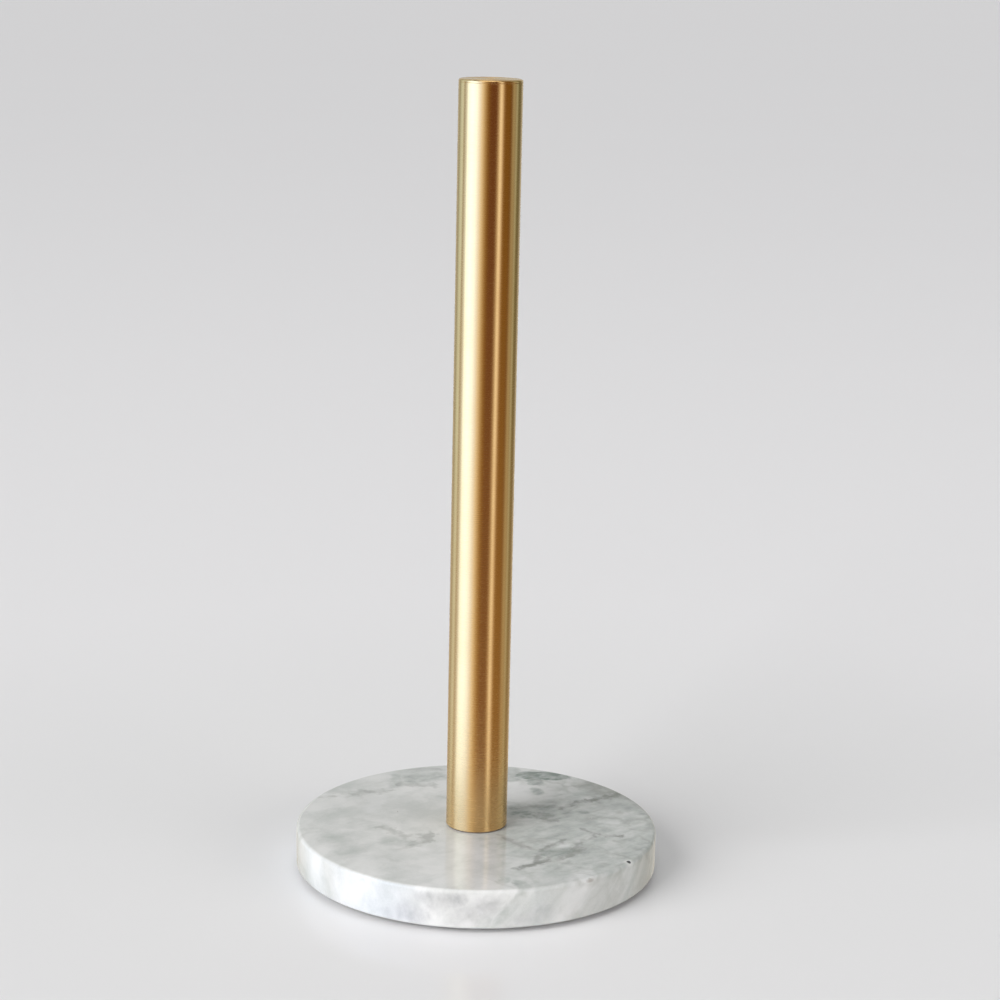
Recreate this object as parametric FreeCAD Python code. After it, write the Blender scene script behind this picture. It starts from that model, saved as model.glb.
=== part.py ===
import FreeCAD, Part
import math
import os

# Freestanding paper towel holder: a brushed metal post on a round marble base.
# Millimetres, +Z up. The origin is the centre of the base at table level, where the rubber feet rest.
# A bolt comes up through the stone from a recess in its underside, and the post screws down onto it.
# The post comes off anticlockwise, and rises by one thread pitch for each turn.

# ---- Driving dimensions ----

HOLDER_HEIGHT = 326.0  # table to the top of the cap

BASE_DIAMETER = 150.0
STONE_THICKNESS = 16.0
STONE_TOP_ROUNDING = 1.6
STONE_BOTTOM_ROUNDING = 1.0
RECESS_DIAMETER = 30.0  # for the bolt's head and washers
RECESS_DEPTH = 9.5
RECESS_CHAMFER = 0.6

FOOT_COUNT = 4
FOOT_DIAMETER = 10.0
FOOT_HEIGHT = 2.0
FOOT_CIRCLE_RADIUS = 60.0
FOOT_ROUNDING = 0.7
FOOT_FIRST_ANGLE = 45.0  # degrees from +X

POST_DIAMETER = 25.4  # one-inch tube
TUBE_WALL = 1.0
TUBE_EDGE_ROUNDING = 0.15
GASKET_THICKNESS = 0.6
GASKET_INSET = 0.5  # from the tube's outside
GASKET_HOLE_DIAMETER = 9.0

CAP_RIM = 1.2  # the part of the cap that shows above the tube
CAP_TOP_ROUNDING = 0.9
CAP_SKIRT_LENGTH = 8.0
CAP_SKIRT_WALL = 0.9
CAP_CORNER = 0.3

PLUG_LENGTH = 14.0
PLUG_CHAMFER = 0.6
PLUG_MOUTH_WIDENING = 0.9  # of the tapped hole's radius, at the foot

THREAD_DIAMETER = 8.0  # M8 coarse
THREAD_PITCH = 1.25
THREAD_DEPTH_RATIO = 0.6134  # depth over pitch of a metric bolt's thread
THREAD_CREST_RATIO = 0.125  # flat at the crest over pitch
FLANK_ANGLE = 30.0  # degrees, between a flank and the level
THREAD_CLEARANCE = 0.1  # between the bolt's flanks and the plug's
ROOT_CLEARANCE = 0.12  # between the plug's crests and the bolt's roots
BOLT_LENGTH = 25.0  # under the head
BOLT_PLAIN_LENGTH = 2.5  # unthreaded neck under the head
BOLT_TIP_CHAMFER = 0.8
BOLT_HEAD_DIAMETER = 14.0
BOLT_HEAD_HEIGHT = 4.4
BOLT_HEAD_RIM = 0.7  # straight side of the button head
BOLT_HEAD_FLAT_DIAMETER = 7.4
HEX_KEY_SIZE = 5.0  # across flats
HEX_SOCKET_DEPTH = 2.8
DRILL_POINT_SLOPE = 0.58  # height over radius of the cone at the socket's end
BOLT_HOLE_DIAMETER = 9.0  # in the stone

LOCK_WASHER_DIAMETER = 14.8
LOCK_WASHER_HOLE = 8.3
LOCK_WASHER_THICKNESS = 2.0
LOCK_WASHER_SPLIT = 1.2
LOCK_WASHER_SLANT = 25.0  # degrees that the split leans

FLAT_WASHER_DIAMETER = 24.0
FLAT_WASHER_HOLE = 8.4
FLAT_WASHER_THICKNESS = 2.0
WASHER_EDGE = 0.25

CUSHION_DIAMETER = 24.0
CUSHION_HOLE = 9.0
CUSHION_THICKNESS = 0.8

# ---- Levels and radii that follow from them ----

STONE_BOTTOM_Z = FOOT_HEIGHT
STONE_TOP_Z = STONE_BOTTOM_Z + STONE_THICKNESS
RECESS_TOP_Z = STONE_BOTTOM_Z + RECESS_DEPTH

CUSHION_BOTTOM_Z = RECESS_TOP_Z - CUSHION_THICKNESS
FLAT_WASHER_BOTTOM_Z = CUSHION_BOTTOM_Z - FLAT_WASHER_THICKNESS
LOCK_WASHER_BOTTOM_Z = FLAT_WASHER_BOTTOM_Z - LOCK_WASHER_THICKNESS
BOLT_HEAD_TOP_Z = LOCK_WASHER_BOTTOM_Z
BOLT_HEAD_BOTTOM_Z = BOLT_HEAD_TOP_Z - BOLT_HEAD_HEIGHT
BOLT_TIP_Z = BOLT_HEAD_TOP_Z + BOLT_LENGTH
THREAD_BOTTOM_Z = BOLT_HEAD_TOP_Z + BOLT_PLAIN_LENGTH

POST_FOOT_Z = STONE_TOP_Z + GASKET_THICKNESS
PLUG_TOP_Z = POST_FOOT_Z + PLUG_LENGTH
TUBE_TOP_Z = HOLDER_HEIGHT - CAP_RIM

POST_RADIUS = POST_DIAMETER / 2
TUBE_INNER_RADIUS = POST_RADIUS - TUBE_WALL

FLANK_SLOPE = math.tan(math.radians(FLANK_ANGLE))
THREAD_RADIUS = THREAD_DIAMETER / 2
THREAD_ROOT_RADIUS = THREAD_RADIUS - THREAD_DEPTH_RATIO * THREAD_PITCH
CREST_HALF_WIDTH = THREAD_CREST_RATIO * THREAD_PITCH / 2
NUT_BORE_RADIUS = THREAD_ROOT_RADIUS + ROOT_CLEARANCE
NUT_GROOVE_RADIUS = THREAD_RADIUS + THREAD_CLEARANCE
THREAD_OVERRUN = 0.06  # how far a cutting outline passes the surface that it cuts
BOLT_THREAD_START = 40.0  # degrees from +X, clear of the seams of the round faces
PLUG_THREAD_START = 60.0
TURNS_PER_CUT = 2

ENGAGED_LENGTH = BOLT_TIP_Z - POST_FOOT_Z
TURNS_TO_FREE = ENGAGED_LENGTH / THREAD_PITCH


# ---- Shape helpers ----


def corner_arc(before, corner, after, radius):
    """The start, middle and end of the arc that rounds a corner of an outline."""
    to_before = (before - corner).normalize()
    to_after = (after - corner).normalize()
    half_angle = to_before.getAngle(to_after) / 2
    reach = radius / math.tan(half_angle)
    bisector = (to_before + to_after).normalize()
    centre = corner + bisector * (radius / math.sin(half_angle))
    return corner + to_before * reach, centre - bisector * radius, corner + to_after * reach


def lathe(corners):
    """Turns a closed outline about Z. Each corner is (radius, height) or (radius, height, rounding)."""
    points = [FreeCAD.Vector(corner[0], 0, corner[1]) for corner in corners]
    roundings = [corner[2] if len(corner) == 3 else 0 for corner in corners]
    edges = []
    pen = None
    first = None
    for i, rounding in enumerate(roundings):
        if rounding:
            following = points[(i + 1) % len(points)]
            start, middle, end = corner_arc(points[i - 1], points[i], following, rounding)
        else:
            start = end = points[i]
        if pen is None:
            first = start
        else:
            edges.append(Part.LineSegment(pen, start).toShape())
        if rounding:
            edges.append(Part.Arc(start, middle, end).toShape())
        pen = end
    edges.append(Part.LineSegment(pen, first).toShape())
    face = Part.Face(Part.Wire(edges))
    return face.revolve(FreeCAD.Vector(0, 0, 0), FreeCAD.Vector(0, 0, 1), 360)


def ring(inner_radius, outer_radius, bottom, top, rounding=0.0):
    """A flat ring, with its outer and inner edges rounded alike."""
    return lathe(
        [
            (inner_radius, bottom, rounding),
            (outer_radius, bottom, rounding),
            (outer_radius, top, rounding),
            (inner_radius, top, rounding),
        ]
    )


def cut_thread(blank, profile, bottom, top, start_angle):
    """Cuts a right-hand thread that crosses +X at a height of bottom, and starts at start_angle.

    The cutter's outline is given as (radius, height above bottom) points.
    """
    points = [FreeCAD.Vector(radius, 0, height) for radius, height in profile]
    outline = Part.makePolygon(points + points[:1])
    helix = Part.makeHelix(THREAD_PITCH, THREAD_PITCH * TURNS_PER_CUT, THREAD_RADIUS)
    cutter = Part.Wire(helix.Edges).makePipeShell([outline], True, True)
    cutter.rotate(FreeCAD.Vector(0, 0, 0), FreeCAD.Vector(0, 0, 1), start_angle)
    cutter.translate(FreeCAD.Vector(0, 0, bottom + THREAD_PITCH * start_angle / 360))
    for _ in range(math.ceil((top - bottom) / THREAD_PITCH / TURNS_PER_CUT)):
        blank = blank.cut(cutter)
        cutter.translate(FreeCAD.Vector(0, 0, THREAD_PITCH * TURNS_PER_CUT))
    return blank


def flank_half_width(radius, clearance=0.0):
    """Half the height of the bolt's thread ridge at a radius, grown by a clearance off its flanks."""
    growth = clearance / math.cos(math.radians(FLANK_ANGLE))
    return CREST_HALF_WIDTH + (THREAD_RADIUS - radius) * FLANK_SLOPE + growth


# ---- Base ----


def marble_base():
    """A polished disc of stone, drilled for the bolt and recessed underneath for its head and washers."""
    outer = BASE_DIAMETER / 2
    hole = BOLT_HOLE_DIAMETER / 2
    recess = RECESS_DIAMETER / 2
    return lathe(
        [
            (hole, RECESS_TOP_Z),
            (recess, RECESS_TOP_Z),
            (recess, STONE_BOTTOM_Z + RECESS_CHAMFER),
            (recess + RECESS_CHAMFER, STONE_BOTTOM_Z),
            (outer, STONE_BOTTOM_Z, STONE_BOTTOM_ROUNDING),
            (outer, STONE_TOP_Z, STONE_TOP_ROUNDING),
            (hole, STONE_TOP_Z),
        ]
    )


def rubber_foot(number):
    """One anti-slip foot stuck under the stone."""
    radius = FOOT_DIAMETER / 2
    foot = lathe(
        [
            (0, 0),
            (radius, 0, FOOT_ROUNDING),
            (radius, FOOT_HEIGHT),
            (0, FOOT_HEIGHT),
        ]
    )
    angle = math.radians(FOOT_FIRST_ANGLE + 360 / FOOT_COUNT * number)
    place = FreeCAD.Vector(math.cos(angle), math.sin(angle), 0) * FOOT_CIRCLE_RADIUS
    foot.translate(place)
    return foot


def cushion_washer():
    """The soft washer that keeps steel off the stone."""
    return ring(CUSHION_HOLE / 2, CUSHION_DIAMETER / 2, CUSHION_BOTTOM_Z, RECESS_TOP_Z)


def flat_washer():
    """The wide steel washer that spreads the bolt's pull over the stone."""
    return ring(
        FLAT_WASHER_HOLE / 2,
        FLAT_WASHER_DIAMETER / 2,
        FLAT_WASHER_BOTTOM_Z,
        CUSHION_BOTTOM_Z,
        WASHER_EDGE,
    )


def lock_washer():
    """A split spring washer, pressed flat. Its split leans, as in one wound from square wire."""
    washer = ring(
        LOCK_WASHER_HOLE / 2,
        LOCK_WASHER_DIAMETER / 2,
        LOCK_WASHER_BOTTOM_Z,
        FLAT_WASHER_BOTTOM_Z,
        WASHER_EDGE,
    )
    reach = LOCK_WASHER_DIAMETER
    split = Part.makeBox(reach, LOCK_WASHER_SPLIT, reach)
    split.translate(FreeCAD.Vector(0, -LOCK_WASHER_SPLIT / 2, -reach / 2))
    split.rotate(FreeCAD.Vector(0, 0, 0), FreeCAD.Vector(1, 0, 0), LOCK_WASHER_SLANT)
    middle_z = (LOCK_WASHER_BOTTOM_Z + FLAT_WASHER_BOTTOM_Z) / 2
    split.translate(FreeCAD.Vector(0, 0, middle_z))
    return washer.cut(split)


def bolt_blank():
    """The button-head bolt before its thread and socket are cut."""
    head = BOLT_HEAD_DIAMETER / 2
    flat = BOLT_HEAD_FLAT_DIAMETER / 2
    rim_z = BOLT_HEAD_TOP_Z - BOLT_HEAD_RIM
    # The dome is part of a sphere through the edge of the flat and the foot of the rim.
    rise = rim_z - BOLT_HEAD_BOTTOM_Z
    centre_z = BOLT_HEAD_BOTTOM_Z + (rise**2 + head**2 - flat**2) / (2 * rise)
    sphere_radius = math.hypot(flat, centre_z - BOLT_HEAD_BOTTOM_Z)
    flat_angle = math.atan2(flat, centre_z - BOLT_HEAD_BOTTOM_Z)
    rim_angle = math.atan2(head, centre_z - rim_z)
    middle_angle = (flat_angle + rim_angle) / 2
    middle_radius = sphere_radius * math.sin(middle_angle)
    dome_middle = FreeCAD.Vector(middle_radius, 0, centre_z - sphere_radius * math.cos(middle_angle))
    corners = [
        FreeCAD.Vector(radius, 0, z)
        for radius, z in [
            (head, rim_z),
            (head, BOLT_HEAD_TOP_Z),
            (THREAD_RADIUS, BOLT_HEAD_TOP_Z),
            (THREAD_RADIUS, BOLT_TIP_Z - BOLT_TIP_CHAMFER),
            (THREAD_RADIUS - BOLT_TIP_CHAMFER, BOLT_TIP_Z),
            (0, BOLT_TIP_Z),
            (0, BOLT_HEAD_BOTTOM_Z),
            (flat, BOLT_HEAD_BOTTOM_Z),
        ]
    ]
    edges = [Part.LineSegment(a, b).toShape() for a, b in zip(corners, corners[1:])]
    edges.append(Part.Arc(corners[-1], dome_middle, corners[0]).toShape())
    face = Part.Face(Part.Wire(edges))
    return face.revolve(FreeCAD.Vector(0, 0, 0), FreeCAD.Vector(0, 0, 1), 360)


def hex_socket():
    """The socket for a hex key, with a drilled cone at its end."""
    corner_radius = HEX_KEY_SIZE / math.sqrt(3)
    angles = [math.radians(360 / 6 * i) for i in range(6)]
    corners = [FreeCAD.Vector(math.cos(angle), math.sin(angle), 0) * corner_radius for angle in angles]
    socket_end = FreeCAD.Vector(0, 0, HEX_SOCKET_DEPTH)
    prism = Part.Face(Part.makePolygon(corners + corners[:1])).extrude(socket_end)
    cone_radius = HEX_KEY_SIZE / 2
    cone = Part.makeCone(cone_radius, 0, cone_radius * DRILL_POINT_SLOPE, socket_end)
    socket = prism.fuse(cone)
    socket.translate(FreeCAD.Vector(0, 0, BOLT_HEAD_BOTTOM_Z))
    return socket


def clamp_bolt():
    """The bolt that the post screws onto, its head held in the recess under the stone."""
    outside = THREAD_RADIUS + THREAD_OVERRUN
    root = THREAD_PITCH / 2 - flank_half_width(THREAD_ROOT_RADIUS)
    mouth = THREAD_PITCH / 2 - flank_half_width(outside)
    groove = [(THREAD_ROOT_RADIUS, -root), (outside, -mouth), (outside, mouth), (THREAD_ROOT_RADIUS, root)]
    blank = bolt_blank().cut(hex_socket())
    return cut_thread(blank, groove, THREAD_BOTTOM_Z, BOLT_TIP_Z + THREAD_PITCH, BOLT_THREAD_START)


# ---- Post ----


def foot_gasket():
    """The thin ring between the post and the stone."""
    return ring(GASKET_HOLE_DIAMETER / 2, POST_RADIUS - GASKET_INSET, STONE_TOP_Z, POST_FOOT_Z)


def post_tube():
    """The brushed tube that the roll slides over."""
    return ring(TUBE_INNER_RADIUS, POST_RADIUS, POST_FOOT_Z, TUBE_TOP_Z, TUBE_EDGE_ROUNDING)


def post_cap():
    """A pressed cup that closes the tube: its rim sits on the tube's end, and its skirt grips inside."""
    inside = TUBE_INNER_RADIUS - CAP_SKIRT_WALL
    skirt_end = TUBE_TOP_Z - CAP_SKIRT_LENGTH
    return lathe(
        [
            (0, HOLDER_HEIGHT - CAP_RIM),
            (inside, HOLDER_HEIGHT - CAP_RIM, CAP_CORNER),
            (inside, skirt_end, CAP_CORNER),
            (TUBE_INNER_RADIUS, skirt_end, CAP_CORNER),
            (TUBE_INNER_RADIUS, TUBE_TOP_Z),
            (POST_RADIUS, TUBE_TOP_Z, TUBE_EDGE_ROUNDING),
            (POST_RADIUS, HOLDER_HEIGHT, CAP_TOP_ROUNDING),
            (0, HOLDER_HEIGHT),
        ]
    )


def threaded_plug():
    """The steel plug fixed in the foot of the tube, tapped for the bolt."""
    blank = lathe(
        [
            (NUT_BORE_RADIUS, POST_FOOT_Z + PLUG_CHAMFER),
            (NUT_BORE_RADIUS + PLUG_MOUTH_WIDENING, POST_FOOT_Z),
            (TUBE_INNER_RADIUS, POST_FOOT_Z),
            (TUBE_INNER_RADIUS, PLUG_TOP_Z - PLUG_CHAMFER),
            (TUBE_INNER_RADIUS - PLUG_CHAMFER, PLUG_TOP_Z),
            (NUT_BORE_RADIUS + PLUG_CHAMFER, PLUG_TOP_Z),
            (NUT_BORE_RADIUS, PLUG_TOP_Z - PLUG_CHAMFER),
        ]
    )
    inside = NUT_BORE_RADIUS - THREAD_OVERRUN
    wide = flank_half_width(inside, THREAD_CLEARANCE)
    narrow = flank_half_width(NUT_GROOVE_RADIUS, THREAD_CLEARANCE)
    ridge = [(inside, -wide), (NUT_GROOVE_RADIUS, -narrow), (NUT_GROOVE_RADIUS, narrow), (inside, wide)]
    # The bolt's ridges lie half a pitch above its groove. The cut starts at the last one under the plug.
    first_ridge_z = THREAD_BOTTOM_Z + THREAD_PITCH / 2
    turns_below = math.floor((POST_FOOT_Z - THREAD_PITCH - first_ridge_z) / THREAD_PITCH)
    lowest_ridge_z = first_ridge_z + turns_below * THREAD_PITCH
    return cut_thread(blank, ridge, lowest_ridge_z, PLUG_TOP_Z + THREAD_PITCH, PLUG_THREAD_START)


# ---- Every piece, by its node's name ----


def pieces():
    """Each sub-part's name and solid."""
    made = {
        "marble_base": marble_base(),
        "clamp_bolt": clamp_bolt(),
        "lock_washer": lock_washer(),
        "flat_washer": flat_washer(),
        "cushion_washer": cushion_washer(),
        "foot_gasket": foot_gasket(),
        "post_tube": post_tube(),
        "threaded_plug": threaded_plug(),
        "post_cap": post_cap(),
    }
    for number in range(FOOT_COUNT):
        made[f"rubber_foot_{number + 1}"] = rubber_foot(number)
    return made


def main():
    os.makedirs("parts", exist_ok=True)
    for name, shape in pieces().items():
        solids = shape.Solids
        assert shape.isValid() and len(solids) == 1, f"{name} is not one valid solid"
        solids[0].exportStep(f"parts/{name}.step")
        print(f"{name}: {solids[0].Volume / 1000:.2f} cm3, {len(solids[0].Faces)} faces")
    print(f"the post is free of the bolt after {TURNS_TO_FREE:.2f} turns, {ENGAGED_LENGTH:.2f} mm")


main()
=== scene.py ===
"""A paper towel holder, brushed gold on marble, in a plain pale studio."""

import math

import bmesh
import bpy
from mathutils import Matrix, Vector

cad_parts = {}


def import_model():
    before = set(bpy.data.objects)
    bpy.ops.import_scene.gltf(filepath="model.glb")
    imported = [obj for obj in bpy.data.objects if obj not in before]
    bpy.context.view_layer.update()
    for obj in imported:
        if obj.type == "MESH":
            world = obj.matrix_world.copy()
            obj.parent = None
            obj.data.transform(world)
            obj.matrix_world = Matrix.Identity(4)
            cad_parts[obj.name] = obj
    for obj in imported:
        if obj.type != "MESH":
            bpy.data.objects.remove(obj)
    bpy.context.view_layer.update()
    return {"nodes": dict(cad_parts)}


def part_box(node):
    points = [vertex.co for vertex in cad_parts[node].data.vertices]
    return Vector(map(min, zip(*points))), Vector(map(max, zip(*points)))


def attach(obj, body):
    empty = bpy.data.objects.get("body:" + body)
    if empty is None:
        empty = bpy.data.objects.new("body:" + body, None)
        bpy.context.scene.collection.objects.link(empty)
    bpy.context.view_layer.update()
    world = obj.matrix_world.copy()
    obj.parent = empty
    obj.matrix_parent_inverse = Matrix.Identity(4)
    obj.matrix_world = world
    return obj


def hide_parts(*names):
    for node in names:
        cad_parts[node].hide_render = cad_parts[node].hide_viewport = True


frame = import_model()

MM = 0.001

# ---- Sizes, all from the frame, in metres ----

STONE_LOW, STONE_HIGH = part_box("marble_base")
STONE_RADIUS = STONE_HIGH.x
STONE_TOP = STONE_HIGH.z
STONE_BOTTOM = STONE_LOW.z
RECESS_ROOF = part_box("cushion_washer")[1].z  # of the recess that the bolt's head is in
POST_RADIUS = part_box("post_tube")[1].x


# ---- Mesh helpers ----

ARC_STEPS = 6  # in the rounding of one corner
SHARP_ANGLE = math.radians(30)


def turned_outline(corners):
    """Points of a lathe outline in mm. Each corner is (radius, height) or (radius, height, rounding)."""
    points = []
    for i, corner in enumerate(corners):
        at = Vector(corner[:2])
        if len(corner) == 2:
            points.append(at)
            continue
        before = (Vector(corners[i - 1][:2]) - at).normalized()
        after = (Vector(corners[(i + 1) % len(corners)][:2]) - at).normalized()
        half = before.angle(after) / 2
        centre = at + (before + after).normalized() * (corner[2] / math.sin(half))
        start = at + before * (corner[2] / math.tan(half)) - centre
        sweep = start.angle_signed(at + after * (corner[2] / math.tan(half)) - centre)
        for step in range(ARC_STEPS + 1):
            turn = Matrix.Rotation(-sweep * step / ARC_STEPS, 2)
            points.append(centre + turn @ start)
    return points


def lathe(name, corners, segments):
    """A closed ring turned about Z, from an outline in mm that stays clear of the axis."""
    mesh = bmesh.new()
    angles = [2 * math.pi * k / segments for k in range(segments)]
    rings = []
    for radius, height in turned_outline(corners):
        places = [(radius * MM * math.cos(a), radius * MM * math.sin(a), height * MM) for a in angles]
        rings.append([mesh.verts.new(place) for place in places])
    for ring, following in zip(rings, rings[1:] + rings[:1]):
        for k in range(segments):
            onwards = (k + 1) % segments
            mesh.faces.new((ring[k], ring[onwards], following[onwards], following[k]))
    bmesh.ops.recalc_face_normals(mesh, faces=mesh.faces)
    return finish_mesh(name, mesh)


def mark_sharp_edges(data):
    """Makes a mesh smooth except at its sharp edges."""
    mesh = bmesh.new()
    mesh.from_mesh(data)
    for face in mesh.faces:
        face.smooth = True
    for edge in mesh.edges:
        edge.smooth = len(edge.link_faces) != 2 or edge.calc_face_angle() < SHARP_ANGLE
    mesh.to_mesh(data)
    mesh.free()


def finish_mesh(name, mesh):
    """Makes an object of a bmesh."""
    data = bpy.data.meshes.new(name)
    mesh.to_mesh(data)
    mesh.free()
    mark_sharp_edges(data)
    made = bpy.data.objects.new(name, data)
    bpy.context.scene.collection.objects.link(made)
    return made


def apply_modifiers(piece):
    """Turns what a piece's modifiers show into its own mesh."""
    evaluated = piece.evaluated_get(bpy.context.evaluated_depsgraph_get())
    data = bpy.data.meshes.new_from_object(evaluated)
    piece.modifiers.clear()
    piece.data = data


def add_grain(mesh, centre, radius, seed):
    """Adds a lumpy grain, which leaves a pit where it is cut out. Centre and radius are in mm."""
    made = bmesh.ops.create_icosphere(mesh, subdivisions=2, radius=radius * MM)
    for vertex in made["verts"]:
        direction = vertex.co.normalized()
        wave = math.sin(3.1 * direction.x + seed) * math.cos(2.7 * direction.y + 1.7 * seed)
        stretch = 1 + 0.22 * wave + 0.1 * math.sin(5 * direction.z + seed)
        vertex.co = vertex.co * stretch + centre * MM


# ---- Material helpers ----


class Shader:
    """A material with one Principled shader, and short calls that add a node and return its output."""

    def __init__(self, name, **constants):
        self.material = bpy.data.materials.new(name)
        self.material.use_nodes = True
        self.tree = self.material.node_tree
        self.surface = self.tree.nodes["Principled BSDF"]
        for socket, value in constants.items():
            self.surface.inputs[socket.replace("_", " ")].default_value = value

    def node(self, kind, inputs=(), output=0, **settings):
        """Adds a node and returns one output. Inputs are values or outputs, by socket number or name."""
        made = self.tree.nodes.new("ShaderNode" + kind)
        for key, value in settings.items():
            setattr(made, key, value)
        for key, value in dict(inputs).items():
            if isinstance(value, bpy.types.NodeSocket):
                self.tree.links.new(value, made.inputs[key])
            elif value is not None:
                made.inputs[key].default_value = value
        return made.outputs[output]

    def set(self, socket, value):
        """Links an output to one of the Principled shader's sockets."""
        self.tree.links.new(value, self.surface.inputs[socket])

    def place(self):
        """The point's place in its piece's own frame, in mm, so that a pattern moves with its piece."""
        coordinates = self.node("TexCoord", output="Object")
        return self.scaled(coordinates, 1000.0)

    def calc(self, operation, a, b=None, clamp=False):
        """Arithmetic on numbers."""
        return self.node("Math", {0: a, 1: b}, operation=operation, use_clamp=clamp)

    def vector(self, operation, a, b=None, output=0):
        """Arithmetic on vectors. A length, a distance or a dot product is the output called Value."""
        return self.node("VectorMath", {0: a, 1: b}, output=output, operation=operation)

    def scaled(self, a, factor):
        return self.node("VectorMath", {0: a, "Scale": factor}, operation="SCALE")

    def split(self, a):
        """The x, y and z of a vector."""
        first = self.node("SeparateXYZ", {0: a})
        return first, first.node.outputs[1], first.node.outputs[2]

    def join(self, x, y, z):
        return self.node("CombineXYZ", {0: x, 1: y, 2: z})

    def noise(self, at, size, detail=3.0, roughness=0.5, colour=False):
        """Noise whose features are about size mm across."""
        inputs = {"Vector": at, "Scale": 1 / size, "Detail": detail, "Roughness": roughness}
        return self.node("TexNoise", inputs, output="Color" if colour else 0)

    def fade(self, value, start, end, low=0.0, high=1.0):
        """Goes smoothly from low to high as value goes from start to end."""
        inputs = {0: value, 1: start, 2: end, 3: low, 4: high}
        return self.node("MapRange", inputs, interpolation_type="SMOOTHSTEP")

    def mix(self, amount, a, b):
        """A colour from a to b."""
        made = self.tree.nodes.new("ShaderNodeMix")
        made.data_type = "RGBA"
        for socket, value in ((made.inputs[0], amount), (made.inputs[6], a), (made.inputs[7], b)):
            if isinstance(value, bpy.types.NodeSocket):
                self.tree.links.new(value, socket)
            elif isinstance(value, (int, float)):
                socket.default_value = value
            else:
                socket.default_value = (*value, 1.0)
        return made.outputs[2]

    def web(self, at, size):
        """The distance to the nearest border of cells about size mm across, as a share of that size."""
        return self.node("TexVoronoi", {"Vector": at, "Scale": 1 / size}, feature="DISTANCE_TO_EDGE")

    def bump(self, height, depth, strength=1.0, normal=None):
        """A bump whose height, from 0 to 1, stands depth mm high."""
        inputs = {"Height": height, "Distance": depth * MM, "Strength": strength, "Normal": normal}
        return self.node("Bump", inputs)


# ---- Marble ----

# The stone's own sizes, in mm.
RECESS_RADIUS = 15.0
RECESS_CHAMFER = 0.6
BOLT_HOLE_RADIUS = 4.5
TOP_ROUNDING = 1.6
BOTTOM_ROUNDING = 1.0
STONE_SEGMENTS = 288

# Veins, clouds and patches in the stone, seen from above, in mm from the centre. Each is a run of points,
# half its width, how strong it is, and how wide its soft edge is.
VEINS = [
    ([(15, 18), (22, 21), (30, 22), (37, 22)], 0.5, 0.5, 2.6),
    ([(36, 21), (40, 24), (43, 28), (50, 31), (56, 34), (60, 38), (64, 43)], 0.7, 0.9, 2.2),
    ([(26, 11), (30, 9), (33, 6)], 1.2, 0.55, 2.6),
    ([(44, -4), (47, -8), (51, -10)], 0.3, 0.5, 1.5),
    ([(51, -10), (54, -12), (60, -12)], 0.6, 0.85, 1.6),
    ([(17, -51), (22, -47), (25, -44), (29, -41)], 0.5, 0.85, 2.0),
    ([(29, -41), (35, -38), (39, -34), (44, -28)], 0.4, 0.6, 2.2),
    ([(24, -45), (25, -37), (27, -30), (30, -26), (34, -22), (36, -18)], 0.35, 0.6, 1.9),
    ([(40, -28), (42, -23), (47, -16), (49, -13)], 0.3, 0.55, 1.7),
    ([(10, -13), (14, -20), (19, -25), (23, -29)], 0.3, 0.45, 1.7),
    ([(-53, 32), (-48, 35), (-40, 37)], 0.8, 0.5, 2.4),
    ([(-75, 27), (-62, 29)], 0.4, 0.35, 2.0),
    ([(-39, -7), (-34, -13), (-30, -17)], 0.7, 0.4, 2.8),
    ([(-26, -25), (-22, -23), (-20, -15)], 1.0, 0.5, 3.0),
    ([(-34, 46), (-20, 46)], 1.0, 0.35, 2.6),
    ([(-38, 66), (-18, 68)], 0.8, 0.35, 2.5),
    ([(47, 57), (57, 48), (66, 34), (73, 16)], 0.8, 0.35, 4.0),
]
CLOUDS = [
    ([(21, 62), (28, 62), (36, 63)], 4.5, 1.0, 2.0),
    ([(25, 53), (26, 56)], 3.0, 0.8, 2.0),
    ([(15, 56), (15, 68)], 2.0, 0.55, 3.5),
    ([(17, 14), (26, 14), (38, 16)], 6.0, 0.55, 6.0),
    ([(16, 15), (21, 13)], 3.0, 0.8, 4.0),
    ([(25, 37), (25, 42)], 1.2, 0.55, 3.0),
    ([(44, 15), (45, 15)], 1.5, 0.6, 2.5),
    ([(50, 22), (64, 22)], 5.0, 0.38, 7.0),
    ([(48, 6), (50, -2)], 4.0, 0.38, 6.0),
    ([(18, -2), (40, -4)], 7.0, 0.36, 8.0),
    ([(30, -33), (42, -32)], 3.5, 0.62, 3.5),
    ([(17, -54), (17, -57)], 2.5, 0.3, 4.0),
    ([(19, -70), (18, -66)], 1.5, 0.4, 3.0),
    ([(11, -63), (12, -63)], 1.5, 0.32, 3.0),
    ([(48, 50), (58, 44)], 3.0, 0.4, 6.0),
    ([(-36, 44), (-36, 57)], 1.5, 0.32, 3.0),
    ([(-28, 54), (-18, 58)], 3.0, 0.4, 5.0),
    ([(-58, -22), (-52, -36)], 3.0, 0.24, 6.0),
    ([(-36, -23), (-27, -24)], 2.0, 0.28, 5.0),
    ([(-50, -5), (-40, -7)], 2.0, 0.22, 5.0),
    ([(70, 22), (74, 2)], 3.0, 0.42, 5.0),
    ([(45, -20), (60, 10)], 28.0, 0.40, 25.0),
]
PALE_PATCHES = [
    ([(17, 32), (18, 49)], 3.0, 0.55, 4.0),
    ([(36, -25), (37, -21)], 0.8, 0.7, 2.5),
    ([(29, -21), (31, -19)], 1.0, 0.5, 3.0),
    ([(55, 3), (60, 9)], 1.0, 0.4, 4.0),
    ([(45, -54), (42, -60)], 2.0, 0.4, 5.0),
    ([(-22, -30), (-24, -30)], 1.0, 0.6, 2.5),
    ([(-44, 12), (-42, 28)], 1.5, 0.4, 4.0),
]
BROWN_PATCHES = [
    ([(48, 52), (60, 40)], 3.0, 0.55, 6.0),
    ([(12, -17), (20, -27)], 1.0, 0.35, 4.0),
]
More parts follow.
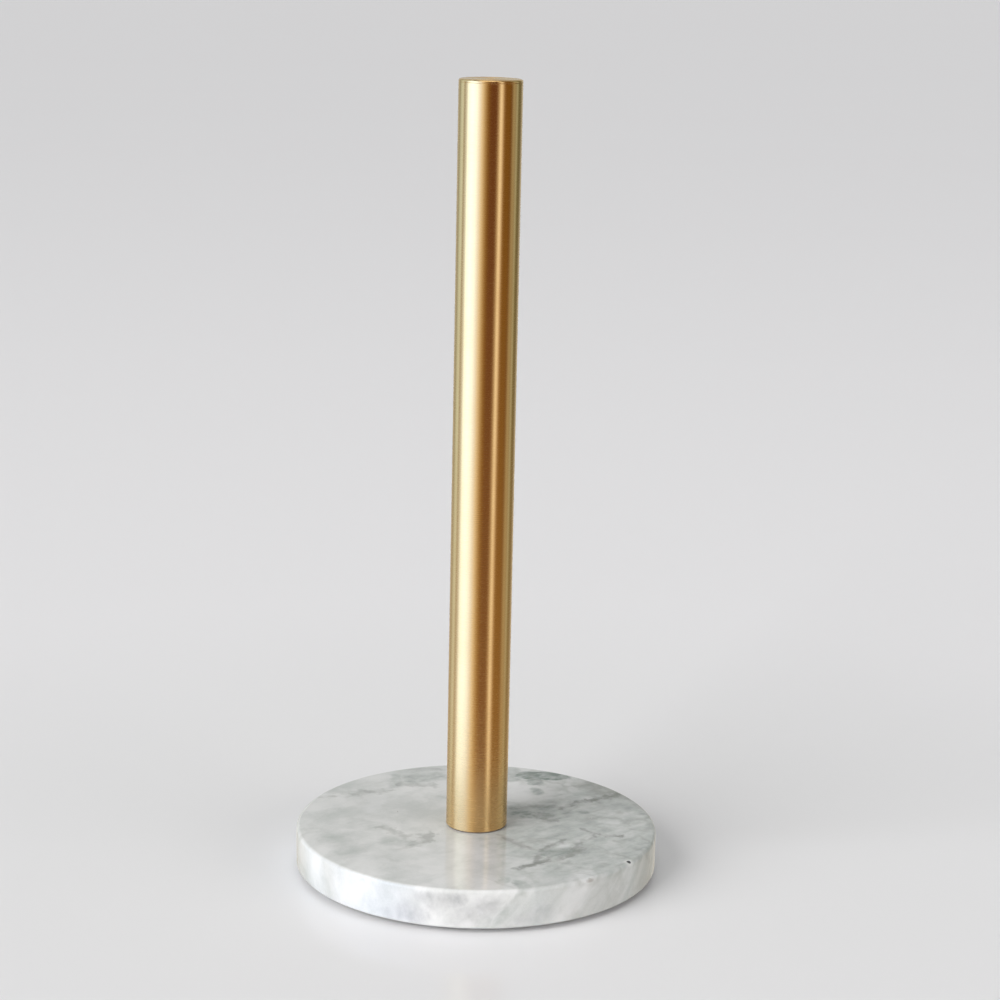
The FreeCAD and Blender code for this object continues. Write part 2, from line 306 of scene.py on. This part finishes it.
RIM_PATCHES = [  # on the front of the rim: x and height instead of x and y
    ([(-33, 4), (-27, 8), (-20, 6)], 0.2, 0.6, 6.0),
    ([(-19, 13), (-12, 12), (-6, 14)], 0.3, 0.75, 6.0),
    ([(-6, 7), (6, 12)], 0.2, 0.5, 7.0),
    ([(17, 6), (30, 8)], 0.2, 0.4, 4.0),
]
VEIN_LEAN = (0.55, 0.8)  # how far a vein moves sideways, in x and y, for each mm down into the stone
FIBRE_LIE = math.radians(-38)  # the clouds' fibres lie from front left to back right
STROKE_PUSH = (0.05, 0.05, 0.0)  # mm, too little to see: strokes() says what it is for

# The stone's colours.
WHITE = (0.70, 0.70, 0.69)
MISTY = (0.53, 0.545, 0.53)
WISPY = (0.42, 0.44, 0.425)
PALE = (0.76, 0.765, 0.765)
PALE_IN_CLOUD = (0.70, 0.70, 0.70)
BRIGHT_GRAIN = (0.85, 0.85, 0.84)
RIM_GREY = (0.36, 0.36, 0.37)
CLOUD_GREEN = (0.155, 0.195, 0.172)
BROWN = (0.30, 0.275, 0.235)
CRACK = (0.27, 0.28, 0.25)
VEIN = (0.15, 0.155, 0.135)
RUST = (0.25, 0.215, 0.185)
PIT_EDGE = (0.80, 0.79, 0.76)
# Painted shade for the hollow of each pit.
PAINTED_PIT_SHADE = (0.045, 0.042, 0.038)
GROUND_WHITE = (0.72, 0.72, 0.70)

# Small pits in the polished top, and chips at its edge: (x, y, radius), in mm.
PITS = [(62.0, -40.4, 0.9), (-33.5, 12.0, 0.26), (48.0, 9.0, 0.28)]
CHIPS = [(46.0, -59.2, 0.7), (-71.2, 22.6, 0.4), (-40.5, 63.0, 0.45)]
PIT_LIFT = 0.25  # how far a pit's centre is above the top, as a share of its radius
CHIP_INSET = 0.35  # mm from the rim to a chip's centre
CHIP_DROP = 0.15  # mm from the top down to a chip's centre


def stroke(shader, at, run, thinning):
    """How strong one vein, cloud or patch is, from 0 to 1. It goes by the distance to its nearest line."""
    points, half_width, strength, softness = run
    nearest = None
    for start, end in zip(points, points[1:]):
        line = Vector((*end, 0.0)) - Vector((*start, 0.0))
        reach = shader.vector("SUBTRACT", at, (*start, 0.0))
        along = shader.vector("DOT_PRODUCT", reach, line / line.length_squared, "Value")
        share = shader.calc("ADD", along, 0.0, clamp=True)
        distance = shader.vector("DISTANCE", reach, shader.scaled(tuple(line), share), "Value")
        nearest = distance if nearest is None else shader.calc("MINIMUM", nearest, distance)
    if thinning:
        nearest = shader.calc("MULTIPLY", nearest, thinning)
    return shader.fade(nearest, half_width, half_width + softness, strength, 0.0)


def strokes(shader, at, runs, thinning=None):
    """The strongest of several strokes. Each is pushed very slightly by the ones before it.

    The push makes the renderer finish one stroke before the next. It can hold only a few values at a time.
    """
    total = stroke(shader, at, runs[0], thinning)
    for run in runs[1:]:
        pushed = shader.node("VectorMath", {0: total, 1: STROKE_PUSH, 2: at}, operation="MULTIPLY_ADD")
        total = shader.calc("MAXIMUM", total, stroke(shader, pushed, run, thinning))
    return total


def warped(shader, at, *pushes):
    """A place pushed about by noise. A push is the noise's size and how far it moves the place, in mm."""
    moved = at
    for size, distance in pushes:
        push = shader.vector("SUBTRACT", shader.noise(at, size, 3.0, colour=True), (0.5, 0.5, 0.5))
        moved = shader.vector("ADD", moved, shader.scaled(push, distance))
    return moved


def stone_cracks(shader, at, leaning_x):
    """A faint web of old cracks, finer and darker in the stone's grey half."""
    where = shader.fade(shader.noise(at, 38.0, 2.0), 0.42, 0.62)
    wide_web = shader.web(warped(shader, at, (24.0, 26.0), (4.5, 6.0)), 30.0)
    wide_web = shader.calc("MULTIPLY", shader.fade(wide_web, 0.0, 0.06, 0.2, 0.0), where)
    fine_web = shader.web(warped(shader, at, (24.0, 12.0), (4.5, 5.0)), 13.0)
    grey_half = shader.fade(leaning_x, 2.0, 30.0)
    in_grey = shader.calc("MULTIPLY", grey_half, shader.fade(shader.noise(at, 15.0, 3.0), 0.40, 0.60))
    fine_web = shader.calc("MULTIPLY", shader.fade(fine_web, 0.0, 0.16, 0.42, 0.0), in_grey)
    return shader.calc("MAXIMUM", wide_web, fine_web)


def white_stone(shader, at, cloud_place, lying, pale, greyed):
    """The colour of the stone between its clouds and veins: mist, wisps, pale patches and a fine grain."""
    mist = shader.fade(shader.noise(cloud_place, 26.0, 5.0, 0.6), 0.34, 0.70)
    wisp_place = shader.vector("MULTIPLY", lying, (0.5, 1.0, 1.0))
    wisps = shader.fade(shader.noise(wisp_place, 12.0, 5.0, 0.6), 0.45, 0.7)
    grain = shader.noise(at, 0.7, 2.0, 0.7)

    white = shader.mix(mist, WHITE, MISTY)
    white = shader.mix(shader.calc("MULTIPLY", wisps, 0.35), white, WISPY)
    white = shader.mix(shader.calc("MULTIPLY", pale, 0.8), white, PALE)
    white = shader.mix(shader.fade(grain, 0.3, 0.7, 0.0, 0.10), white, BRIGHT_GRAIN)
    return shader.mix(greyed, white, RIM_GREY)


def flawed(shader, at, stone):
    """The stone's colour with a rusty stain at the first chip, and painted shade in the pits, which sit in
    pale rings.
    """
    x_chip, y_chip, _ = CHIPS[0]
    stain_centre = (x_chip, y_chip, STONE_TOP / MM - 0.9)
    from_chip = shader.vector("SUBTRACT", warped(shader, at, (4.5, 2.2)), stain_centre)
    from_chip = shader.vector("LENGTH", shader.vector("MULTIPLY", from_chip, (0.7, 0.7, 1.6)), output="Value")
    stone = shader.mix(shader.fade(from_chip, 0.3, 1.9, 0.6, 0.0), stone, RUST)
    for x_pit, y_pit, radius in PITS:
        near = shader.vector("DISTANCE", at, (x_pit, y_pit, STONE_TOP / MM), "Value")
        halo = shader.fade(near, radius * 1.3, radius * 3.4, 0.4, 0.0)
        stone = shader.mix(halo, stone, PIT_EDGE)
        # Painted shade: each pit's hollow is coloured near black, for the shade that falls in it.
        stone = shader.mix(shader.fade(near, radius * 0.9, radius * 1.25, 0.92, 0.0), stone, PAINTED_PIT_SHADE)
    return stone


def ground_parts(shader, x, y, z):
    """Where the stone is ground and not polished, from 0 to 1: the underside and the recess."""
    across = shader.vector("LENGTH", shader.join(x, y, 0.0), output="Value")
    under = shader.fade(z, STONE_BOTTOM / MM + 0.15, STONE_BOTTOM / MM + 0.7, 1.0, 0.0)
    in_recess = shader.calc("LESS_THAN", across, RECESS_RADIUS + RECESS_CHAMFER + 0.1)
    below_roof = shader.calc("LESS_THAN", z, RECESS_ROOF / MM + 0.05)
    return shader.calc("MAXIMUM", under, shader.calc("MULTIPLY", in_recess, below_roof))


def stone_finish(shader, at, veins, ground):
    """Sets the polish, a little duller on the veins, and the scored look of what is ground."""
    polish = shader.fade(shader.noise(at, 12.0, 4.0), 0.3, 0.7, 0.05, 0.10)
    veined_polish = shader.calc("ADD", polish, shader.calc("MULTIPLY", veins, 0.12))
    shader.set("Roughness", shader.calc("ADD", veined_polish, shader.calc("MULTIPLY", ground, 0.45)))

    ripple = shader.noise(at, 14.0, 2.0)
    polished_normal = shader.bump(ripple, 0.012, 0.5)
    scored_at = shader.vector("MULTIPLY", at, (0.12, 1.6, 1.0))
    scores = shader.noise(scored_at, 0.8, 4.0, 0.7)
    scored = shader.calc("MULTIPLY", scores, ground)
    shader.set("Normal", shader.bump(scored, 0.12, 0.6, polished_normal))


def marble():
    """Pale stone with grey-green clouds, dark fine veins, and a polish that the underside doesn't have."""
    shader = Shader("marble", IOR=1.54)
    at = shader.place()
    x, y, z = shader.split(at)
    depth = shader.calc("SUBTRACT", STONE_TOP / MM, z)
    leaning_x = shader.calc("ADD", x, shader.calc("MULTIPLY", depth, VEIN_LEAN[0]))
    leaning_y = shader.calc("ADD", y, shader.calc("MULTIPLY", depth, VEIN_LEAN[1]))
    flat = shader.join(leaning_x, leaning_y, 0.0)

    vein_place = warped(shader, flat, (24.0, 4.0), (4.5, 2.4), (1.3, 0.7))
    thinning = shader.fade(shader.noise(flat, 4.0, 3.0, 0.6), 0.32, 0.66, 0.5, 1.4)
    veins = strokes(shader, vein_place, VEINS, thinning)
    cloud_place = warped(shader, flat, (24.0, 9.0), (4.5, 5.0), (1.6, 1.6))
    clouds = strokes(shader, cloud_place, CLOUDS)
    pale = strokes(shader, cloud_place, PALE_PATCHES)
    brown = strokes(shader, cloud_place, BROWN_PATCHES)
    rim_place = warped(shader, shader.join(x, z, 0.0), (9.0, 9.0), (2.0, 3.0))
    greyed = shader.calc("MULTIPLY", strokes(shader, rim_place, RIM_PATCHES), shader.fade(y, -50.0, -65.0))
    greyed = shader.calc("MULTIPLY", greyed, shader.fade(depth, 0.1, 2.5))

    # A vein's strength comes and goes along it.
    broken = shader.fade(shader.noise(flat, 7.0, 4.0, 0.6), 0.34, 0.60, 0.25, 0.9)
    veins = shader.calc("MULTIPLY", veins, broken)
    # Clouds are ragged, and made of short fibres.
    lying = shader.node("VectorRotate", {"Vector": flat, "Angle": FIBRE_LIE}, rotation_type="Z_AXIS")
    fibres = shader.noise(shader.vector("MULTIPLY", lying, (0.35, 1.0, 1.0)), 4.2, 5.0, 0.62)
    ragged = shader.fade(shader.noise(flat, 9.0, 6.0, 0.62), 0.3, 0.66, 0.45, 1.1)
    ragged = shader.calc("MULTIPLY", ragged, shader.fade(fibres, 0.3, 0.68, 0.6, 1.25))
    clouds = shader.calc("MULTIPLY", clouds, ragged, clamp=True)
    greyed = shader.calc("MULTIPLY", greyed, ragged, clamp=True)
    towards_rim = shader.fade(depth, 0.8, 4.0, 1.0, 0.55)
    clouds = shader.calc("MULTIPLY", clouds, towards_rim)
    cracks = shader.calc("MULTIPLY", stone_cracks(shader, at, leaning_x), towards_rim)

    white = white_stone(shader, at, cloud_place, lying, pale, greyed)
    stone = shader.mix(clouds, white, CLOUD_GREEN)
    stone = shader.mix(shader.calc("MULTIPLY", pale, 0.5), stone, PALE_IN_CLOUD)
    stone = shader.mix(shader.calc("MULTIPLY", brown, 0.45), stone, BROWN)
    stone = shader.mix(cracks, stone, CRACK)
    stone = shader.mix(veins, stone, VEIN)
    stone = flawed(shader, at, stone)
    ground = ground_parts(shader, x, y, z)
    stone = shader.mix(shader.calc("MULTIPLY", ground, 0.45), stone, GROUND_WHITE)
    shader.set("Base Color", stone)
    stone_finish(shader, at, veins, ground)
    return shader.material


def marble_disc():
    """The stone, with its eased edges, natural pits and edge chips cut into it."""
    top = STONE_TOP / MM
    bottom = STONE_BOTTOM / MM
    roof = RECESS_ROOF / MM
    outer = STONE_RADIUS / MM
    # The extra points on the flat faces and half way up the rim keep the roundings' soft shading near them.
    corners = [
        (BOLT_HOLE_RADIUS, roof),
        (RECESS_RADIUS, roof),
        (RECESS_RADIUS, bottom + RECESS_CHAMFER),
        (RECESS_RADIUS + RECESS_CHAMFER, bottom),
        (44.0, bottom),
        (outer, bottom, BOTTOM_ROUNDING),
        (outer, (top + bottom) / 2),
        (outer, top, TOP_ROUNDING),
        (56.0, top),
        (30.0, top),
        (BOLT_HOLE_RADIUS, top),
    ]
    disc = lathe("marble_disc", corners, STONE_SEGMENTS)
    cutters = bmesh.new()
    for i, (x, y, radius) in enumerate(PITS):
        add_grain(cutters, Vector((x, y, top + radius * PIT_LIFT)), radius, i)
    for i, (x, y, radius) in enumerate(CHIPS):
        edge = Vector((x, y, 0)) * ((outer - CHIP_INSET) / math.hypot(x, y))
        add_grain(cutters, Vector((edge.x, edge.y, top - CHIP_DROP)), radius, len(PITS) + i)
    cutter = finish_mesh("marble_cutter", cutters)
    modifier = disc.modifiers.new("pits", "BOOLEAN")
    modifier.operation = "DIFFERENCE"
    modifier.solver = "EXACT"
    modifier.object = cutter
    apply_modifiers(disc)
    mark_sharp_edges(disc.data)
    bpy.data.objects.remove(cutter)
    disc.data.materials.clear()
    disc.data.materials.append(marble())
    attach(disc, "base")
    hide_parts("marble_base")


# ---- Brushed gold ----

GOLD = (0.86, 0.56, 0.24)
GOLD_BETWEEN_LINES = (0.90, 0.60, 0.27)
HANDLED_GOLD = (0.84, 0.52, 0.20)


def brushed_gold():
    """Gold-coloured steel, brushed round and round, so that its reflections stretch along the post."""
    shader = Shader("brushed_gold", Metallic=1.0, Anisotropic=0.92, Anisotropic_Rotation=0.25)
    at = shader.place()
    x, y, z = shader.split(at)
    angle = shader.calc("ARCTAN2", y, x)
    across = shader.vector("LENGTH", shader.join(x, y, 0.0), output="Value")
    # On the side of the post the lines run round it. On the flat top they are circles about its centre.
    on_top = shader.fade(across, POST_RADIUS / MM - 0.55, POST_RADIUS / MM - 0.25, 1.0, 0.0)
    along = shader.node("Mix", {0: on_top, 2: z, 3: across})
    turned = shader.join(shader.calc("MULTIPLY", angle, 1.6), along, 0.0)
    stretched = shader.vector("MULTIPLY", turned, (1.0, 9.0, 1.0))
    lines = shader.noise(stretched, 1.0, 3.0, 0.7)
    coarse_at = shader.vector("MULTIPLY", turned, (1.2, 1.5, 1.0))
    coarse = shader.noise(coarse_at, 1.0, 3.0, 0.6)
    handled = shader.noise(at, 28.0, 3.0)

    tone = shader.mix(shader.fade(lines, 0.3, 0.7), GOLD, GOLD_BETWEEN_LINES)
    tone = shader.mix(shader.fade(handled, 0.35, 0.7, 0.0, 0.25), tone, HANDLED_GOLD)
    shader.set("Base Color", tone)
    rough = shader.fade(lines, 0.25, 0.75, 0.24, 0.275)
    rough = shader.calc("ADD", rough, shader.fade(coarse, 0.3, 0.7, -0.008, 0.01))
    rough = shader.calc("ADD", rough, shader.fade(handled, 0.35, 0.7, 0.0, 0.02))
    shader.set("Roughness", rough)
    shader.set("Normal", shader.bump(lines, 0.004, 0.08))
    shader.set("Tangent", shader.node("Tangent", direction_type="RADIAL", axis="Z"))
    return shader.material


# ---- Hardware, rubber and fibre ----

ZINC = (0.63, 0.62, 0.60)
YELLOWED_ZINC = (0.72, 0.70, 0.62)
DARK_FIBRE = (0.16, 0.055, 0.028)
RED_FIBRE = (0.30, 0.13, 0.075)


def zinc_steel():
    """Zinc-plated steel: grey with faintly yellow blotches and a fine spangle."""
    shader = Shader("zinc_steel", Metallic=1.0)
    at = shader.place()
    blotch = shader.noise(at, 2.4, 4.0, 0.6)
    spangle = shader.noise(at, 0.5, 2.0)
    tone = shader.mix(shader.fade(blotch, 0.35, 0.65), ZINC, YELLOWED_ZINC)
    shader.set("Base Color", tone)
    rough = shader.fade(blotch, 0.3, 0.7, 0.26, 0.42)
    shader.set("Roughness", shader.calc("ADD", rough, shader.fade(spangle, 0.3, 0.7, -0.04, 0.05)))
    shader.set("Normal", shader.bump(spangle, 0.01, 0.4))
    return shader.material


def rubber(name, dark, worn, grain_size):
    """Matte moulded rubber, with a fine grain, whose size is in mm, and a paler bloom."""
    shader = Shader(name, IOR=1.5)
    at = shader.place()
    grain = shader.noise(at, grain_size, 3.0, 0.65)
    bloom = shader.noise(at, 3.5, 3.0)
    tone = shader.mix(shader.fade(bloom, 0.35, 0.7), dark, worn)
    shader.set("Base Color", tone)
    shader.set("Roughness", shader.fade(bloom, 0.3, 0.7, 0.62, 0.82))
    shader.set("Normal", shader.bump(grain, 0.03, 0.6))
    return shader.material


def vulcanised_fibre():
    """Red-brown pressed fibre, with short flecks."""
    shader = Shader("vulcanised_fibre", IOR=1.5)
    at = shader.place()
    fleck_at = shader.vector("MULTIPLY", at, (1.0, 3.0, 1.0))
    flecks = shader.noise(fleck_at, 0.6, 4.0, 0.7)
    tone = shader.mix(shader.fade(flecks, 0.35, 0.7), DARK_FIBRE, RED_FIBRE)
    shader.set("Base Color", tone)
    shader.set("Roughness", shader.fade(flecks, 0.3, 0.7, 0.6, 0.8))
    shader.set("Normal", shader.bump(flecks, 0.02, 0.5))
    return shader.material


def dress(material, *nodes):
    """Gives CAD nodes a material."""
    for node in nodes:
        piece = frame["nodes"][node]
        piece.data.materials.clear()
        piece.data.materials.append(material)


# ---- Studio ----

FLOOR_HALF_WIDTH = 30.0
FLOOR_COLOUR = (0.81, 0.805, 0.81)
FLOOR_ROUGHNESS = 0.14
FLOOR_GLOSS = 0.75
FLOOR_GLOSS_REACH = (130.0, 450.0)  # mm from the middle: where the gloss starts to fade, and where it ends
SURROUND_LIGHT = (0.285, 0.288, 0.294)
SURROUND_REFLECTED = (0.30, 0.28, 0.25)
# Wide windows: name, azimuth, elevation and width in degrees, then the light across the beam, and its colour.
WINDOWS = [
    ("window", -50, 24, 50, 3.2, (1.0, 1.0, 1.0)),
    ("fill", 62, 8, 50, 1.7, (1.0, 0.97, 0.95)),
]
SUN_DISTANCE = 3.0  # a sun's light is the same from any distance
# The soft light above: azimuth and elevation in degrees, distance and size in metres, and its radiance.
OVERHEAD = (-20, 80, 2.4, 1.6, 1.1)
HORIZON_LIFT = 1.14  # brings the surround up to the brightness of the floor's far edge
CAMERA_AT = Vector((0.00574, -0.9812, 0.38396))
CAMERA_DOWN = math.radians(13.02)
CAMERA_YAW = math.radians(-0.075)
CAMERA_ROLL = math.radians(1.219)
CAMERA_LENS = 89.26  # mm
CAMERA_SENSOR = 36.0  # mm


def camera():
    """The camera, at the main view's place and angle."""
    data = bpy.data.cameras.new("camera")
    data.sensor_width = CAMERA_SENSOR
    data.lens = CAMERA_LENS
    made = bpy.data.objects.new("camera", data)
    bpy.context.scene.collection.objects.link(made)
    yaw = Matrix.Rotation(CAMERA_YAW, 4, "Z")
    tilt = Matrix.Rotation(math.pi / 2 - CAMERA_DOWN, 4, "X")
    roll = Matrix.Rotation(CAMERA_ROLL, 4, "Z")
    made.matrix_world = Matrix.Translation(CAMERA_AT) @ yaw @ tilt @ roll
    bpy.context.scene.camera = made


def floor():
    """A plain pale table top, slightly glossy near the object. It can be seen through from below."""
    mesh = bmesh.new()
    bmesh.ops.create_grid(mesh, x_segments=1, y_segments=1, size=FLOOR_HALF_WIDTH)
    made = finish_mesh("floor", mesh)
    shader = Shader("floor")
    matte = shader.node("BsdfDiffuse", {"Color": (*FLOOR_COLOUR, 1.0)})
    gloss = shader.node("BsdfGlossy", {"Color": (1.0, 1.0, 1.0, 1.0), "Roughness": FLOOR_ROUGHNESS})
    fresnel = shader.node("Fresnel", {"IOR": 1.45})
    from_object = shader.vector("LENGTH", shader.place(), output="Value")
    near = shader.fade(from_object, *FLOOR_GLOSS_REACH, FLOOR_GLOSS, 0.0)
    top = shader.node("MixShader", {0: shader.calc("MULTIPLY", fresnel, near), 1: matte, 2: gloss})
    see_through = shader.node("BsdfTransparent")
    behind = shader.node("NewGeometry", output="Backfacing")
    both = shader.node("MixShader", {0: behind, 1: top, 2: see_through})
    shader.tree.links.new(both, shader.tree.nodes["Material Output"].inputs["Surface"])
    made.data.materials.append(shader.material)
    made.visible_glossy = False


# The light tent that polished metal reflects: (azimuth, colour), in degrees round the object.
# Azimuth 0 is the camera's side and 90 its right.
TENT = [
    (-180, (0.55, 0.57, 0.55)),
    (-155, (0.50, 0.53, 0.50)),
    (-138, (0.32, 0.38, 0.36)),
    (-126, (0.62, 0.84, 1.02)),
    (-112, (0.74, 1.00, 1.32)),
    (-105, (0.30, 0.30, 0.30)),
    (-98, (0.62, 0.78, 1.10)),
    (-91, (0.85, 1.15, 1.75)),
    (-85, (1.45, 2.10, 3.40)),
    (-66, (1.55, 2.30, 3.95)),
    (-48, (1.35, 1.90, 3.20)),
    (-38, (1.08, 1.38, 2.15)),
    (-28, (0.92, 0.96, 1.02)),
    (-16, (0.46, 0.37, 0.24)),
    (-6, (0.20, 0.10, 0.010)),
    (4, (0.105, 0.025, 0.000)),
    (24, (0.105, 0.025, 0.000)),
    (33, (0.50, 0.42, 0.34)),
    (39, (1.22, 1.30, 1.45)),
    (45, (0.88, 0.84, 0.86)),
    (52, (0.28, 0.18, 0.075)),
    (60, (0.17, 0.085, 0.012)),
    (70, (0.19, 0.10, 0.015)),
    (82, (0.14, 0.06, 0.004)),
    (94, (0.42, 0.42, 0.36)),
    (104, (0.30, 0.30, 0.26)),
    (112, (0.48, 0.58, 0.60)),
    (122, (0.16, 0.17, 0.11)),
    (138, (0.16, 0.17, 0.13)),
    (155, (0.50, 0.53, 0.50)),
]
TENT_SCALE = 4.0  # the brightest value that a tent colour may have
TENT_RADIUS = 1.3
TENT_BOTTOM = -1.3
TENT_TOP = 1.7
TENT_SEGMENTS = 96
TENT_NEAR_FLOOR = (0.19, 0.14, 0.085)


def tent():
    """A round light tent that only mirror-like reflections see. It also goes on below the floor."""
    mesh = bmesh.new()
    size = {"radius1": TENT_RADIUS, "radius2": TENT_RADIUS, "depth": TENT_TOP - TENT_BOTTOM}
    bmesh.ops.create_cone(mesh, segments=TENT_SEGMENTS, **size)
    bmesh.ops.translate(mesh, verts=mesh.verts, vec=(0, 0, (TENT_TOP + TENT_BOTTOM) / 2))
    made = finish_mesh("tent", mesh)
    shader = Shader("tent")
    x, y, z = shader.split(shader.place())
    azimuth = shader.calc("ARCTAN2", x, shader.calc("MULTIPLY", y, -1.0))
    share = shader.node("MapRange", {0: azimuth, 1: -math.pi, 2: math.pi, 3: 0.0, 4: 1.0})
    ramp = shader.tree.nodes.new("ShaderNodeValToRGB")
    elements = ramp.color_ramp.elements
    while len(elements) < len(TENT) + 1:
        elements.new(0.5)
    for element, (degrees, colour) in zip(elements, [*TENT, (180, TENT[0][1])]):
        element.position = (degrees + 180) / 360
        element.color = (*(part / TENT_SCALE for part in colour), 1.0)
    shader.tree.links.new(share, ramp.inputs[0])
    # Lower down, the tent is lit by the floor: warmer and with less contrast.
    low = shader.fade(z, 150.0, -450.0)
    colour = shader.mix(shader.calc("MULTIPLY", low, 0.3), ramp.outputs[0], TENT_NEAR_FLOOR)
    glow = shader.node("Emission", {"Color": colour, "Strength": TENT_SCALE})
    shader.tree.links.new(glow, shader.tree.nodes["Material Output"].inputs["Surface"])
    made.data.materials.append(shader.material)
    for ray in ("camera", "diffuse", "transmission", "volume_scatter", "shadow"):
        setattr(made, "visible_" + ray, False)


def place_light(data, azimuth, elevation, distance):
    """Puts a light where it faces the object. Azimuth 0 is the camera's side, and 90 its right."""
    made = bpy.data.objects.new(data.name, data)
    bpy.context.scene.collection.objects.link(made)
    turn, rise = math.radians(azimuth), math.radians(elevation)
    outwards = Vector((math.sin(turn) * math.cos(rise), -math.cos(turn) * math.cos(rise), math.sin(rise)))
    facing = outwards.to_track_quat("Z", "Y").to_matrix().to_4x4()
    made.matrix_world = Matrix.Translation(outwards * distance) @ facing
    made.visible_camera = False
    return made


def window_light(name, azimuth, elevation, width_degrees, irradiance, colour):
    """Soft light from a wide window far away, so that the whole floor gets as much of it."""
    data = bpy.data.lights.new(name, "SUN")
    data.angle = math.radians(width_degrees)
    data.energy = irradiance
    data.color = colour
    place_light(data, azimuth, elevation, SUN_DISTANCE).visible_glossy = False


def overhead_light(azimuth, elevation, distance, size, radiance):
    """A square soft light above the object, which catches its upper edges."""
    data = bpy.data.lights.new("overhead", "AREA")
    data.shape = "SQUARE"
    data.size = size
    data.energy = radiance * math.pi * size * size  # W, for a flat emitter of that radiance
    place_light(data, azimuth, elevation, distance)


def world():
    """A surround as pale as the far floor to the camera, and dim and warm in reflections."""
    made = bpy.data.worlds.new("surround")
    made.use_nodes = True
    bpy.context.scene.world = made
    tree = made.node_tree
    path = tree.nodes.new("ShaderNodeLightPath")
    reflected = tree.nodes.new("ShaderNodeMix")
    seen = tree.nodes.new("ShaderNodeMix")
    for node in (reflected, seen):
        node.data_type = "RGBA"
    tree.links.new(path.outputs["Is Glossy Ray"], reflected.inputs[0])
    reflected.inputs[6].default_value = (*SURROUND_LIGHT, 1.0)
    reflected.inputs[7].default_value = (*SURROUND_REFLECTED, 1.0)
    tree.links.new(path.outputs["Is Camera Ray"], seen.inputs[0])
    tree.links.new(reflected.outputs[2], seen.inputs[6])
    floor_light = Vector(SURROUND_LIGHT) * HORIZON_LIFT
    for _, _, elevation, _, irradiance, colour in WINDOWS:
        floor_light += Vector(colour) * (irradiance * math.sin(math.radians(elevation)) / math.pi)
    seen.inputs[7].default_value = (*(a * b for a, b in zip(floor_light, FLOOR_COLOUR)), 1.0)
    tree.links.new(seen.outputs[2], tree.nodes["Background"].inputs["Color"])


def studio():
    """Everything round the object that isn't part of it."""
    floor()
    tent()
    world()
    camera()
    for window in WINDOWS:
        window_light(*window)
    overhead_light(*OVERHEAD)
    bpy.context.scene.view_settings.view_transform = "Standard"


# ---- The holder ----

marble_disc()
dress(brushed_gold(), "post_tube", "post_cap")
dress(zinc_steel(), "clamp_bolt", "lock_washer", "flat_washer", "threaded_plug")
gasket_rubber = rubber("gasket_rubber", dark=(0.12, 0.095, 0.075), worn=(0.19, 0.155, 0.125), grain_size=0.35)
dress(gasket_rubber, "foot_gasket")
dress(vulcanised_fibre(), "cushion_washer")
foot_rubber = rubber("foot_rubber", dark=(0.025, 0.025, 0.026), worn=(0.065, 0.064, 0.062), grain_size=0.45)
feet = [node for node in frame["nodes"] if node.startswith("rubber_foot")]
dress(foot_rubber, *feet)
studio()
